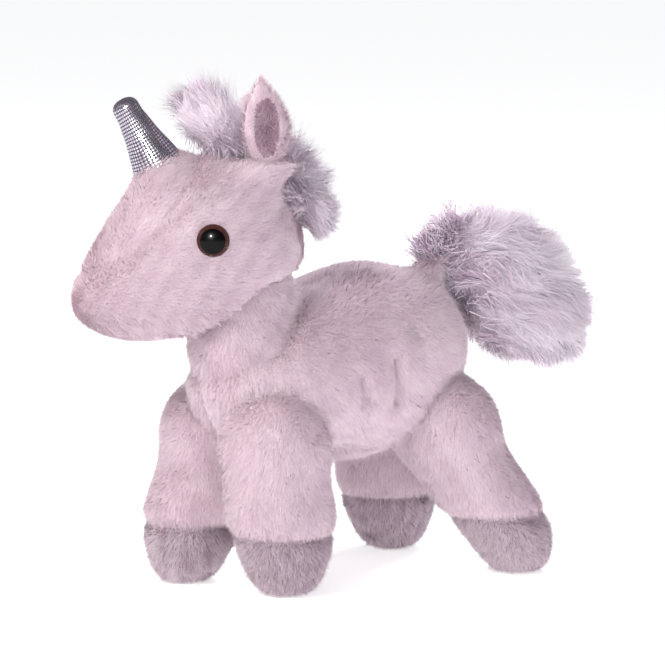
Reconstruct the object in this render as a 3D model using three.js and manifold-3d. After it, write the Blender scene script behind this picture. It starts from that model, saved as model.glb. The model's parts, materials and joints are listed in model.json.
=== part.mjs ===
// A standing plush unicorn: fur fabric covers over stuffing, sewn as separate pieces.
// Millimetres, +Z up. The toy looks along -X and its left side faces -Y.
// The origin is on the floor, under the middle of the toy.

import * as THREE from 'three';
import { mergeVertices } from 'three/addons/utils/BufferGeometryUtils.js';
import Module from 'manifold-3d';

const wasm = await Module();
wasm.setup();

// ---------------------------------------------------------------- driving dimensions

const SEAM_GAP = 0.3; // between two pieces that are sewn or pressed together
const PILE = 3.5; // thickness of the fur fabric, backing and pile
const SHORT_PILE = 2; // thickness of the hoof and ear lining fabric
const FLEX_GAP = 1.5; // room around a ball-shaped flexing seam
const NECK_GAP = 1.9; // and between the neck and the head's hollow

const TORSO_FRONT = -68;
const TORSO_REAR = 47;
const BELLY_HALF_WIDTH = 15;
const BELLY_SEAM_HEIGHT = 56;

const NECK_X = -46;
const NECK_BASE = 91; // height of the ball where the neck meets the torso
const NECK_TOP = 111; // height of the ball where the neck meets the head
const NECK_BASE_RADIUS = 21.5;
const NECK_FLOOR = 80; // where the neck is sewn to the chest, above the legs
const SWING_REACH = 20; // degrees that each leg swings forward and back
const NOD_REACH = [-10, 8]; // degrees, nose down and nose up
const NECK_TOP_RADIUS = 20;
const NECK_RIM = 12; // the neck cover opens this far above the upper ball's middle

const HEAD_HEIGHT = 129; // of the head's reference point, midway between the cheeks
const HEAD_TURN = THREE.MathUtils.degToRad(-27); // towards the toy's right
const NOSE_REACH = 66.5; // from the reference point forward
const NAPE_REACH = 24; // and backward

const HIP_HEIGHT = 56;
const HIP_RADIUS = 21;
const SHIN_DROP = 16; // below the hip, where the swinging leg comes closest to the belly
const HOOF_HEIGHT = 22;
const HOOF_STEP = 1.5; // how far the hoof fabric stands inside the leg fur
const PELLET_HEIGHT = 13;

const EYE_RADIUS = 6;
const PUPIL_RADIUS = 3.9;
const EYE_STEM_RADIUS = 1.8;
const EYE_STEM_LENGTH = 11;
const WASHER_RADIUS = 5.5;

const HORN_RADIUS = 10;
const HORN_TIP_RADIUS = 3.6;
const HORN_LENGTH = 29;
const HORN_CLOTH = 1.2;
const HORN_TILT = THREE.MathUtils.degToRad(-28.5); // forward from upright

const EAR_LENGTH = 36;
const EAR_HALF_WIDTH = 10.5;
const EAR_HALF_DEPTH = 4.6;

const FAR = 400; // size of the blocks that cut a solid along a plane

// The legs: where each one hangs from the torso and where its sole stands, as [x, y].
const LEGS = {
  front_left: { hip: [-45, -20.5], foot: [-41, -21] },
  front_right: { hip: [-47, 20.5], foot: [-60, 20] },
  hind_left: { hip: [29, -22], foot: [56, -33] },
  hind_right: { hip: [29, 22], foot: [41, 32] },
};

// ---------------------------------------------------------------- materials

function clothMaterial(red, green, blue, roughness = 0.95) {
  const color = new THREE.Color().setRGB(red, green, blue, THREE.SRGBColorSpace);
  return new THREE.MeshStandardMaterial({ color, roughness, metalness: 0 });
}

const furFabric = () => clothMaterial(0.87, 0.77, 0.83);
const longPile = () => clothMaterial(0.82, 0.74, 0.83);
const shortPile = () => clothMaterial(0.72, 0.6, 0.68);
const fibreFill = () => clothMaterial(0.95, 0.95, 0.94);
const pelletBag = () => clothMaterial(0.9, 0.9, 0.88, 0.8);
const blackPlastic = () => clothMaterial(0.02, 0.015, 0.015, 0.25);
const brownPlastic = () => clothMaterial(0.2, 0.1, 0.07, 0.1);
const washerPlastic = () => clothMaterial(0.92, 0.92, 0.9, 0.5);

function foilFabric() {
  const material = clothMaterial(0.72, 0.68, 0.74, 0.3);
  material.metalness = 0.8;
  return material;
}

// ---------------------------------------------------------------- solids

function toSolid(geometry) {
  const plain = geometry.clone();
  plain.deleteAttribute('normal');
  plain.deleteAttribute('uv');
  const welded = mergeVertices(plain, 1e-4);
  return new wasm.Manifold(new wasm.Mesh({
    numProp: 3,
    vertProperties: new Float32Array(welded.attributes.position.array),
    triVerts: new Uint32Array(welded.index.array),
  }));
}

function toMesh(name, solid, material) {
  const { vertProperties, triVerts } = mainPiece(solid).getMesh();
  const geometry = new THREE.BufferGeometry();
  geometry.setAttribute('position', new THREE.BufferAttribute(vertProperties, 3));
  geometry.setIndex(new THREE.BufferAttribute(triVerts, 1));
  geometry.computeVertexNormals();
  const mesh = new THREE.Mesh(geometry, material);
  mesh.name = name;
  return mesh;
}

function ball([x, y, z], radius, around = 16, rings = 10) {
  const geometry = new THREE.SphereGeometry(radius, around, rings);
  return toSolid(geometry.rotateX(Math.PI / 2).translate(x, y, z));
}

function egg([x, y, z], [rx, ry, rz], around = 14, rings = 8) {
  const geometry = new THREE.SphereGeometry(1, around, rings);
  return toSolid(geometry.rotateX(Math.PI / 2).scale(rx, ry, rz).translate(x, y, z));
}

// A round bar along Z between two heights.
function bar(radius, low, high, around = 16) {
  const geometry = new THREE.CylinderGeometry(radius, radius, high - low, around);
  return toSolid(geometry.rotateX(Math.PI / 2).translate(0, 0, (low + high) / 2));
}

function block([x0, y0, z0], [x1, y1, z1]) {
  const geometry = new THREE.BoxGeometry(x1 - x0, y1 - y0, z1 - z0);
  return toSolid(geometry.translate((x0 + x1) / 2, (y0 + y1) / 2, (z0 + z1) / 2));
}

const below = (z) => block([-FAR, -FAR, -FAR], [FAR, FAR, z]);
const above = (z) => block([-FAR, -FAR, z], [FAR, FAR, FAR]);
const leftOf = (y) => block([-FAR, -FAR, -FAR], [FAR, y, FAR]);
const rightOf = (y) => block([-FAR, y, -FAR], [FAR, FAR, FAR]);

// A closed body whose sections are ellipses across one axis. Each station holds the place
// along the axis, the section's centre in the two other directions, and its half sizes there.
// The two ends close like a superellipse; a larger `blunt` makes them fuller, and a larger
// `under` does the same for the lower half of each section.
function loft(stations, options = {}) {
  const { axis = 'x', inset = 0, blunt = 2.6, under = 2, around = 18, rings = 9 } = options;
  const places = stations.map((station) => station[0]);
  const sections = stations.flatMap((station) => station.slice(1));
  const sectionAt = new THREE.CubicInterpolant(places, sections, 4);
  const start = places[0] + inset;
  const span = places[places.length - 1] - inset - start;
  const geometry = new THREE.SphereGeometry(1, around, rings);
  const point = geometry.attributes.position;
  for (let i = 0; i < point.count; i++) {
    const across = Math.hypot(point.getX(i), point.getZ(i));
    const u = across < 1e-6 ? 0 : point.getX(i) / across;
    const v = across < 1e-6 ? 1 : point.getZ(i) / across;
    const reach = point.getY(i);
    const close = (1 - Math.abs(reach) ** blunt) ** (1 / blunt);
    const place = start + (span * (reach + 1)) / 2;
    const [cu, cv, ru, rv] = sectionAt.evaluate(place);
    const power = v < 0 ? under : 2;
    const full = close * (Math.abs(u) ** power + Math.abs(v) ** power) ** (-1 / power);
    const pu = cu + u * full * (ru - inset);
    const pv = cv + v * full * (rv - inset);
    if (axis === 'x') point.setXYZ(i, place, pu, pv);
    else point.setXYZ(i, pu, pv, place);
  }
  geometry.index.array.reverse();
  return toSolid(geometry);
}

// The largest of a cut solid's separate pieces: thin slivers beside a seam are trimmed off.
function mainPiece(solid) {
  return solid.decompose().reduce((a, b) => (b.volume() > a.volume() ? b : a));
}

function turned(profile, around = 16) {
  const points = profile.map(([radius, height]) => new THREE.Vector2(radius, height));
  return toSolid(new THREE.LatheGeometry(points, around).rotateX(Math.PI / 2));
}

// ---------------------------------------------------------------- torso

const TORSO_STATIONS = [
  [TORSO_FRONT, 0, 78, 24, 24],
  [-58, 0, 77, 31, 28],
  [-44, 0, 76, 34, 31],
  [-22, 0, 78.8, 36, 32.6],
  [0, 0, 80.5, 37, 38.5],
  [20, 0, 84, 37, 36],
  [36, 0, 86.5, 36, 33.5],
  [TORSO_REAR, 0, 87, 34, 31],
];

const TAIL_ROOT = [38, 0, 115];
const TAIL_SEAT_RADIUS = 6;
const PELLET_BAG = { middle: [-6, 0, 62], halfSize: [26, 14, 11] };
const PELLET_BAG_MOUTH = [[-20, -8, 30], [8, 8, 62]]; // where the bag is filled from below

function hipOf({ hip }) {
  return [hip[0], hip[1], HIP_HEIGHT];
}

function clearJoints(torso, gap) {
  let solid = torso.subtract(neckSolid(-gap));
  const swing = THREE.MathUtils.degToRad(SWING_REACH);
  for (const leg of Object.values(LEGS)) {
    const [x, y, z] = hipOf(leg);
    solid = solid.subtract(ball([x, y, z], HIP_RADIUS + gap));
    for (const way of [-1, 1]) {
      const shin = [x + way * SHIN_DROP * Math.sin(swing), y, z - SHIN_DROP * Math.cos(swing)];
      solid = solid.subtract(ball(shin, HIP_RADIUS + gap, 14, 8));
    }
  }
  return solid.subtract(ball(TAIL_ROOT, TAIL_SEAT_RADIUS + gap, 12, 7));
}

function makeTorso() {
  const group = new THREE.Group();
  const outer = loft(TORSO_STATIONS, { around: 22, rings: 12 });
  const lining = loft(TORSO_STATIONS, { inset: PILE });
  const cover = clearJoints(outer.subtract(lining), FLEX_GAP);
  const half = SEAM_GAP / 2;
  const gusset = BELLY_HALF_WIDTH;
  const bellyRegion = (room) => block(
    [-FAR, -gusset - room, -FAR],
    [FAR, gusset + room, BELLY_SEAM_HEIGHT + room],
  );
  const sides = cover.subtract(bellyRegion(half));
  group.add(
    toMesh('torso_left_panel', sides.intersect(leftOf(-half)), furFabric()),
    toMesh('torso_right_panel', sides.intersect(rightOf(half)), furFabric()),
    toMesh('belly_gusset', cover.intersect(bellyRegion(-half)), furFabric()),
  );
  const room = loft(TORSO_STATIONS, { inset: PILE + 2 * SEAM_GAP });
  const bag = egg(PELLET_BAG.middle, PELLET_BAG.halfSize);
  const bagRoom = egg(PELLET_BAG.middle, PELLET_BAG.halfSize.map((half) => half + SEAM_GAP));
  const bagMouth = block(...PELLET_BAG_MOUTH);
  const stuffing = clearJoints(room, FLEX_GAP + PILE).subtract(bagRoom).subtract(bagMouth);
  group.add(
    toMesh('torso_stuffing', stuffing, fibreFill()),
    toMesh('belly_pellet_bag', bag, pelletBag()),
  );
  return group;
}

// ---------------------------------------------------------------- neck

// The neck is a turned body: a ball at each end, and whichever is wider between them.
function neckSolid(inset) {
  const low = NECK_BASE - NECK_BASE_RADIUS + inset;
  const high = NECK_TOP + NECK_TOP_RADIUS - inset;
  const steps = 14;
  const profile = [[0, low]];
  for (let i = 1; i < steps; i++) {
    const z = low + ((high - low) * (1 - Math.cos((Math.PI * i) / steps))) / 2;
    const base = (NECK_BASE_RADIUS - inset) ** 2 - (z - NECK_BASE) ** 2;
    const top = (NECK_TOP_RADIUS - inset) ** 2 - (z - NECK_TOP) ** 2;
    profile.push([Math.sqrt(Math.max(base, top)), z]);
  }
  profile.push([0, high]);
  return turned(profile).translate(NECK_X, 0, 0);
}

function makeNeck() {
  const group = new THREE.Group();
  const openEnds = above(NECK_FLOOR).intersect(below(NECK_TOP + NECK_RIM));
  const cover = neckSolid(0).subtract(neckSolid(PILE)).intersect(openEnds);
  const core = neckSolid(PILE + SEAM_GAP).intersect(above(NECK_FLOOR));
  group.add(
    toMesh('neck_cover', cover, furFabric()),
    toMesh('neck_stuffing', core, fibreFill()),
  );
  return group;
}

// ---------------------------------------------------------------- head, in its own turned frame

const HEAD_STATIONS = [
  [-NOSE_REACH, 0, -22, 19, 17],
  [-57, 0, -18.5, 20.5, 22],
  [-43, 0, -9, 22.5, 32],
  [-30, 0, -4, 26, 35],
  [-14, 0, -1, 29.5, 36],
  [0, 0, 0, 30, 34.5],
  [12, 0, 0, 28, 31],
  [NAPE_REACH, 0, -1, 24, 27],
];

const CHEEK_FULLNESS = 2.5; // 2 would leave the head's lower half a plain ellipse

const EYE_PLACE = [-13.5, 28.6, 2.8]; // on the right; mirrored for the left
const EYE_YAW = THREE.MathUtils.degToRad(12); // each eye looks a little forward
const EAR_PLACE = [7.5, 15.5, 27.5];
const HORN_PLACE = [-30.5, 0, 26];
const NECK_IN_HEAD = [0, 0, NECK_TOP - HEAD_HEIGHT];
const EAR_LEAN = { left: 8, right: 48 }; // degrees outward from upright

function eyeFrame(side) {
  const [x, y, z] = EYE_PLACE;
  const outward = new THREE.Vector3(-Math.sin(EYE_YAW), side * Math.cos(EYE_YAW), 0);
  const turn = new THREE.Quaternion()
    .setFromUnitVectors(new THREE.Vector3(0, 0, 1), outward);
  const frame = new THREE.Group();
  frame.position.set(x, side * y, z);
  frame.quaternion.copy(turn);
  frame.updateMatrix();
  return frame;
}

function placed(solid, frame) {
  return solid.transform(frame.matrix.elements.slice());
}

function earFrame(side) {
  const lean = THREE.MathUtils.degToRad(side < 0 ? EAR_LEAN.left : EAR_LEAN.right);
  const frame = new THREE.Group();
  frame.position.set(EAR_PLACE[0], side * EAR_PLACE[1], EAR_PLACE[2]);
  frame.rotation.x = -side * lean;
  frame.updateMatrix();
  return frame;
}

function hornFrame() {
  const frame = new THREE.Group();
  frame.position.set(...HORN_PLACE);
  frame.rotation.y = HORN_TILT;
  frame.updateMatrix();
  return frame;
}

function earSlot(side, room) {
  const x = EAR_PLACE[0];
  const half = EAR_HALF_WIDTH + room;
  const depth = EAR_HALF_DEPTH + room;
  return egg([x, side * EAR_PLACE[1], EAR_PLACE[2]], [half, depth, depth]);
}

// The forehead gusset lies above and in front of this line, drawn on the head's side.
function gussetPrism(room) {
  const seam = new THREE.SplineCurve([
    new THREE.Vector2(24, 40),
    new THREE.Vector2(-10, 37 - room),
    new THREE.Vector2(-24, 18 - room),
    new THREE.Vector2(-42, -3 - room),
    new THREE.Vector2(-60, -12 - room),
    new THREE.Vector2(-90, -14 - room),
  ]);
  const outline = new THREE.Shape(seam.getPoints(14));
  outline.lineTo(-90, 80);
  outline.lineTo(24, 80);
  const prism = new THREE.ExtrudeGeometry(outline, { depth: 120, bevelEnabled: false });
  return toSolid(prism.rotateX(Math.PI / 2).translate(0, 60, 0));
}

// What the neck takes up in the head's frame as the head nods from end to end.
function neckRoom(room) {
  const drop = NECK_TOP - NECK_BASE;
  const [x, y, z] = NECK_IN_HEAD;
  let solid = ball([x, y, z], NECK_TOP_RADIUS + room);
  const middle = (NOD_REACH[0] + NOD_REACH[1]) / 2;
  for (const degrees of [NOD_REACH[0], middle, NOD_REACH[1]]) {
    const nod = THREE.MathUtils.degToRad(degrees);
    const base = [x + drop * Math.sin(nod), y, z - drop * Math.cos(nod)];
    solid = solid.add(ball(base, NECK_BASE_RADIUS + room));
  }
  return solid;
}

function makeHead() {
  const group = new THREE.Group();
  const under = CHEEK_FULLNESS;
  const outer = loft(HEAD_STATIONS, { under, around: 22, rings: 12 });
  const lining = loft(HEAD_STATIONS, { under, inset: PILE });
  let cover = outer.subtract(lining);
  let core = loft(HEAD_STATIONS, { under, inset: PILE + 2 * SEAM_GAP });
  cover = cover.subtract(neckRoom(NECK_GAP));
  core = core.subtract(neckRoom(NECK_GAP + PILE));
  cover = cover.subtract(ball(HORN_PLACE, HORN_RADIUS + FLEX_GAP, 20, 12));
  core = core.subtract(ball(HORN_PLACE, HORN_RADIUS + FLEX_GAP + SEAM_GAP, 20, 12));
  for (const side of [-1, 1]) {
    const frame = eyeFrame(side);
    const seat = bar(EYE_RADIUS + SEAM_GAP, -1.1, 12);
    const hole = bar(EYE_STEM_RADIUS + SEAM_GAP, -12, 0, 8);
    const pocket = bar(WASHER_RADIUS + SEAM_GAP, -EYE_STEM_LENGTH - 1.5, 6);
    cover = cover.subtract(placed(seat.add(hole), frame)).subtract(earSlot(side, FLEX_GAP));
    core = core.subtract(placed(pocket, frame)).subtract(earSlot(side, FLEX_GAP + SEAM_GAP));
  }
  const half = SEAM_GAP / 2;
  const sides = cover.subtract(gussetPrism(half));
  group.add(
    toMesh('head_left_panel', sides.intersect(leftOf(-half)), furFabric()),
    toMesh('head_right_panel', sides.intersect(rightOf(half)), furFabric()),
    toMesh('forehead_gusset', cover.intersect(gussetPrism(-half)), furFabric()),
    toMesh('head_stuffing', core, fibreFill()),
  );

  const around = loft(HEAD_STATIONS, { under, around: 22, rings: 12, inset: -SEAM_GAP });
  group.add(
    toMesh('forelock', makeForelock().subtract(around), longPile()),
    toMesh('mane', makeMane().subtract(around), longPile()),
    makeEye('left', -1),
    makeEye('right', 1),
    makeHorn(),
    makeEar('left', -1),
    makeEar('right', 1),
  );
  group.position.set(NECK_X, 0, HEAD_HEIGHT);
  group.rotation.z = HEAD_TURN;
  return group;
}

function makeForelock() {
  return loft([
    [29, -4, 0, 8, 6],
    [38, -9, 0, 13, 7.5],
    [47, -12, 0, 13, 8.5],
    [57, -17, 0, 10, 6],
  ], { axis: 'z', around: 14, rings: 8 });
}

function makeMane() {
  return loft([
    [-1, 24, 0, 6.5, 8],
    [14, 24, 0, 7.5, 9],
    [28, 17, 0, 8, 9],
    [41, 9, 0, 6, 7],
  ], { axis: 'z', around: 14, rings: 8 });
}

// ---------------------------------------------------------------- eyes

function makeEye(name, side) {
  const frame = eyeFrame(side);
  const back = -0.8;
  const pocket = 0.4;
  const crown = 4;
  const arc = 5;
  const profile = [[0, pocket], [PUPIL_RADIUS + SEAM_GAP, pocket], [PUPIL_RADIUS + SEAM_GAP, back],
    [EYE_RADIUS, back]];
  for (let i = 0; i <= arc; i++) {
    const angle = (i / arc) * (Math.PI / 2);
    profile.push([i === arc ? 0 : EYE_RADIUS * Math.cos(angle), crown * Math.sin(angle)]);
  }
  const disc = bar(PUPIL_RADIUS, back, pocket - SEAM_GAP);
  const stem = bar(EYE_STEM_RADIUS, -EYE_STEM_LENGTH, back + 0.2, 8);
  const bore = bar(EYE_STEM_RADIUS + SEAM_GAP, -9, -4, 8);
  const washer = bar(WASHER_RADIUS, -7, -5.8, 14).subtract(bore);
  frame.add(
    toMesh(`eye_${name}_dome`, turned(profile), brownPlastic()),
    toMesh(`eye_${name}_pupil_post`, disc.add(stem), blackPlastic()),
    toMesh(`eye_${name}_lock_washer`, washer, washerPlastic()),
  );
  return frame;
}

// ---------------------------------------------------------------- horn

function hornProfile(inset, low) {
  const tip = HORN_TIP_RADIUS - inset;
  const top = HORN_LENGTH - HORN_TIP_RADIUS;
  const side = new THREE.SplineCurve([
    new THREE.Vector2(HORN_RADIUS - inset, low),
    new THREE.Vector2(HORN_RADIUS * 0.78 - inset, 9),
    new THREE.Vector2(HORN_RADIUS * 0.52 - inset, 20),
    new THREE.Vector2(tip, top),
  ]).getPoints(5);
  const profile = side.map((point) => [point.x, point.y]);
  const arc = 3;
  for (let i = 1; i <= arc; i++) {
    const angle = (i / arc) * (Math.PI / 2);
    profile.push([i === arc ? 0 : tip * Math.cos(angle), top + tip * Math.sin(angle)]);
  }
  return profile;
}

function hornSolid(inset, low, around) {
  return turned([[0, low], ...hornProfile(inset, low)], around);
}

function makeHorn() {
  const frame = hornFrame();
  const cover = hornSolid(0, 0, 20).subtract(hornSolid(HORN_CLOTH, -1, 20));
  const fill = hornSolid(HORN_CLOTH + SEAM_GAP, 0.3, 20);
  const plug = egg([0, 0, 0], [HORN_RADIUS - 2, HORN_RADIUS - 2, HORN_RADIUS - 1]);
  frame.add(
    toMesh('horn_cover', cover, foilFabric()),
    toMesh('horn_stuffing', fill.add(plug.intersect(below(1))), fibreFill()),
  );
  return frame;
}

// ---------------------------------------------------------------- ears

// The blade stands along local Z; its hollow front faces outward, away from the head.
function earBlade(inset) {
  return loft([
    [-EAR_HALF_DEPTH + inset, 0, 0, EAR_HALF_WIDTH * 0.72 - inset, EAR_HALF_DEPTH - inset],
    [8, 0, 0, EAR_HALF_WIDTH - inset, EAR_HALF_DEPTH - inset],
    [22, -1, 0, EAR_HALF_WIDTH * 0.9 - inset, EAR_HALF_DEPTH * 0.9 - inset],
    [EAR_LENGTH - inset, -3, 0, EAR_HALF_WIDTH * 0.45 - inset, EAR_HALF_DEPTH * 0.5 - inset],
  ], { axis: 'z', around: 14, rings: 9, blunt: 2.2 });
}

function makeEar(name, side) {
  const frame = earFrame(side);
  const hollow = egg([-0.5, side * 4.6, 17], [6.8, 4.6, 16]);
  const lining = egg([-0.5, side * 4.6, 17], [6.8 - SEAM_GAP, 4.6 - SEAM_GAP, 16 - SEAM_GAP])
    .subtract(egg([-0.5, side * 5.4, 17.5], [5, 3.6, 14.5]))
    .intersect(earBlade(0));
  frame.add(
    toMesh(`ear_${name}_back`, earBlade(0).subtract(hollow), furFabric()),
    toMesh(`ear_${name}_lining`, lining, shortPile()),
  );
  return frame;
}

// ---------------------------------------------------------------- tail

const TAIL_TILT = THREE.MathUtils.degToRad(25); // below level
const TAIL_CORE_STATIONS = [
  [-5, 0, 0, 5.5, 5.5],
  [14, 0, 0, 6, 6],
  [42, 0, 0, 5, 5],
];
const TAIL_BRUSH_STATIONS = [
  [-1, 0, 15, 9, 7],
  [11, 0, 12, 16, 17],
  [30, 0, 6, 22, 25],
  [55, 0, 2, 21, 23],
  [78, 0, -1, 13, 14],
];

function makeTail() {
  const frame = new THREE.Group();
  frame.position.set(...TAIL_ROOT);
  frame.rotation.y = TAIL_TILT;
  const core = loft(TAIL_CORE_STATIONS, { around: 12, rings: 7 });
  const coreRoom = loft(TAIL_CORE_STATIONS, { around: 12, rings: 7, inset: -SEAM_GAP });
  const brush = loft(TAIL_BRUSH_STATIONS, { around: 16, rings: 10, blunt: 2.3 });
  frame.add(
    toMesh('tail_core', core, fibreFill()),
    toMesh('tail_brush', brush.subtract(coreRoom), longPile()),
  );
  return frame;
}

// ---------------------------------------------------------------- legs

// Sections up the leg: height, how far the section has moved from the foot to the hip
// (0 to 1), and its half sizes along and across the toy.
const LEG_SECTIONS = [
  [-6, 0, 20, 18.8],
  [10, 0.1, 21.5, 20],
  [25, 0.38, 22.8, 20.4],
  [38, 0.66, 21.6, 20.2],
  [48, 0.88, 19.8, 19.4],
  [HIP_HEIGHT, 1, 20.5, 20],
  [HIP_HEIGHT + HIP_RADIUS, 1, 20.5, 20],
];

function legLoft(leg, inset) {
  const stations = LEG_SECTIONS.map(([z, share, along, across]) => [
    z,
    THREE.MathUtils.lerp(leg.foot[0], leg.hip[0], share),
    THREE.MathUtils.lerp(leg.foot[1], leg.hip[1], share),
    along,
    across,
  ]);
  return loft(stations, { axis: 'z', around: 16, rings: 9, blunt: 2.4, inset });
}

function makeLeg(name, leg) {
  const group = new THREE.Group();
  const ground = above(0);
  const shape = legLoft(leg, 0).intersect(ground);
  const lining = legLoft(leg, PILE);
  const sleeve = shape.subtract(lining).intersect(above(HOOF_HEIGHT + SEAM_GAP));
  const hoofLining = legLoft(leg, HOOF_STEP + SHORT_PILE).intersect(above(SHORT_PILE));
  const hoof = legLoft(leg, HOOF_STEP).intersect(ground).subtract(hoofLining)
    .intersect(below(HOOF_HEIGHT));
  const core = legLoft(leg, HOOF_STEP + SHORT_PILE + 2 * SEAM_GAP)
    .intersect(above(SHORT_PILE + SEAM_GAP));
  group.add(
    toMesh(`${name}_leg_cover`, sleeve, furFabric()),
    toMesh(`${name}_hoof_cover`, hoof, shortPile()),
    toMesh(`${name}_leg_stuffing`, core.intersect(above(PELLET_HEIGHT + SEAM_GAP)), fibreFill()),
    toMesh(`${name}_foot_pellets`, core.intersect(below(PELLET_HEIGHT)), pelletBag()),
  );
  return group;
}

// ---------------------------------------------------------------- assembly

const unicorn = new THREE.Group();
unicorn.add(makeTorso(), makeNeck(), makeHead(), makeTail());
for (const [name, leg] of Object.entries(LEGS)) {
  unicorn.add(makeLeg(name, leg));
}

// The origin moves to the floor under the middle of the toy's box.
const box = new THREE.Box3().setFromObject(unicorn, true);
const middle = box.getCenter(new THREE.Vector3());
unicorn.position.set(-middle.x, -middle.y, -box.min.z);

export default unicorn;
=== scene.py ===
"""A plush unicorn: skins of fur fabric over stuffing, with the pile grown on them strand by strand,
a horn of foil cloth, plastic safety eyes, and a long-pile forelock, mane and tail."""

import json
import math

import bmesh
import bpy
import numpy as np
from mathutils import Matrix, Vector
from mathutils.bvhtree import BVHTree


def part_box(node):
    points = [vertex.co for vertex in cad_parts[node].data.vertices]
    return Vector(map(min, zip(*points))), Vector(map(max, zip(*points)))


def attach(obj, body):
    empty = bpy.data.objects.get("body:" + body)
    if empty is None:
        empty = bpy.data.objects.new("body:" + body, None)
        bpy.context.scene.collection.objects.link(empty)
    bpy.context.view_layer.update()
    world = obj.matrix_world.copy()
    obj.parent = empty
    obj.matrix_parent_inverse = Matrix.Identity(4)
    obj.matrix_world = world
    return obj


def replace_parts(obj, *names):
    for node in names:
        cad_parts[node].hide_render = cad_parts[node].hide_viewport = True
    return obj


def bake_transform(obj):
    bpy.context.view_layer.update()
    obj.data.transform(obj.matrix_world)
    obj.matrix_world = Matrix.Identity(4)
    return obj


MM = 0.001
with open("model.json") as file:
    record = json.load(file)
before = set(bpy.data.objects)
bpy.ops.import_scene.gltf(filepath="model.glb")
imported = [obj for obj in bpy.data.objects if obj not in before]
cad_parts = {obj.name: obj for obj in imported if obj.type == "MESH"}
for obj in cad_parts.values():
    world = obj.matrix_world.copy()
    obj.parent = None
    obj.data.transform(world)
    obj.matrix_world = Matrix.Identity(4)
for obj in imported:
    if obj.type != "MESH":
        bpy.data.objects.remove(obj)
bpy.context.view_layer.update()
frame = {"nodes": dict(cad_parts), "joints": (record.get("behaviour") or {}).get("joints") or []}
UP = np.array([0.0, 0.0, 1.0])
JOINTS = {j["name"]: np.array(j["pos_m"]) for j in frame["joints"]}
SIDEWAYS = np.array(next(j["axis"] for j in frame["joints"] if j["name"] == "head_nod"), float)
SIDEWAYS /= np.linalg.norm(SIDEWAYS)
FACING = np.cross(UP, SIDEWAYS)  # the way that the head looks

# ---------------------------------------------------------------- camera and light

AZIMUTH, ELEVATION = math.radians(-33), math.radians(8)
DISTANCE, LENS = 1.4, 202
AIM = Vector((-0.0038, 0.0070, 0.0905))
CLIP_NEAR, CLIP_FAR = 0.05, 50
TOWARDS_CAMERA = Vector((
    math.sin(AZIMUTH) * math.cos(ELEVATION),
    -math.cos(AZIMUTH) * math.cos(ELEVATION),
    math.sin(ELEVATION),
))
RIGHT = Vector((math.cos(AZIMUTH), math.sin(AZIMUTH), 0))


def put_camera():
    data = bpy.data.cameras.new("camera")
    data.lens = LENS
    data.clip_start, data.clip_end = CLIP_NEAR, CLIP_FAR
    camera = bpy.data.objects.new("camera", data)
    camera.location = AIM + TOWARDS_CAMERA * DISTANCE
    camera.rotation_mode = "QUATERNION"
    camera.rotation_quaternion = (-TOWARDS_CAMERA).to_track_quat("-Z", "Y")
    bpy.context.scene.collection.objects.link(camera)
    bpy.context.scene.camera = camera


def area_light(name, place, size, watts, colour, in_gloss, in_matt):
    """A soft box aimed at the toy, placed to the right, towards the camera and up of it."""
    right, near, up = place
    level = Vector((TOWARDS_CAMERA.x, TOWARDS_CAMERA.y, 0)).normalized()
    data = bpy.data.lights.new(name, "AREA")
    data.shape, data.size, data.energy, data.color = "DISK", size, watts, colour
    light = bpy.data.objects.new(name, data)
    light.location = AIM + RIGHT * right + level * near + Vector((0, 0, up))
    light.rotation_mode = "QUATERNION"
    light.rotation_quaternion = (AIM - light.location).to_track_quat("-Z", "Y")
    light.visible_glossy = in_gloss
    light.visible_diffuse = in_matt
    bpy.context.scene.collection.objects.link(light)


SKY_COLOUR = (0.97, 0.98, 1.0, 1)
SKY_LIGHT, SKY_IN_GLOSS = 0.39, 0.06  # a dim sky in reflections keeps foil and eyes dark
WHITE, WARM, COOL, PALE = (1, 1, 1), (1, 0.98, 0.96), (0.9, 0.93, 1), (0.95, 0.96, 1)
# name, place (right, near, up) and size in metres, watts, colour, in gloss, on matt surfaces
LIGHTS = [
    ("key", (-0.85, 0.85, 1.2), 0.8, 24, WARM, False, True),
    ("catch", (-0.28, 1.0, 0.42), 0.1, 30, WHITE, True, False),
    ("left_strip", (-1.0, 0.2, 0.4), 0.8, 1.2, WHITE, True, True),
    ("right_strip", (1.0, -0.3, 0.5), 0.6, 0.8, WHITE, True, True),
    ("fill", (0.9, 0.9, 0.35), 0.9, 2.5, COOL, False, True),
    ("rim", (0.45, -0.9, 0.9), 0.6, 14, PALE, False, True),
]


def light_up():
    bpy.context.scene.view_settings.view_transform = "Standard"
    world = bpy.data.worlds.new("studio")
    bpy.context.scene.world = world
    world.use_nodes = True
    tree = world.node_tree
    sky = tree.nodes["Background"]
    sky.inputs["Color"].default_value = SKY_COLOUR
    gloss = node(tree, "ShaderNodeLightPath").outputs["Is Glossy Ray"]
    dimmer = node(tree, "ShaderNodeMapRange", {"Value": gloss, "To Min": SKY_LIGHT,
                                              "To Max": SKY_IN_GLOSS})
    tree.links.new(dimmer.outputs["Result"], sky.inputs["Strength"])
    for light in LIGHTS:
        area_light(*light)


# ---------------------------------------------------------------- materials


def tone(red, green, blue):
    """An sRGB colour, 0 to 255, as linear RGBA."""
    srgb = np.array([red, green, blue]) / 255
    linear = np.where(srgb <= 0.04045, srgb / 12.92, ((srgb + 0.055) / 1.055) ** 2.4)
    return (*linear, 1.0)


def material(name, colour, roughness=0.8, **sockets):
    made = bpy.data.materials.new(name)
    made.use_nodes = True
    shader = made.node_tree.nodes["Principled BSDF"]
    shader.inputs["Base Color"].default_value = colour
    shader.inputs["Roughness"].default_value = roughness
    for socket, value in sockets.items():
        shader.inputs[socket.replace("_", " ")].default_value = value
    return made


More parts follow.
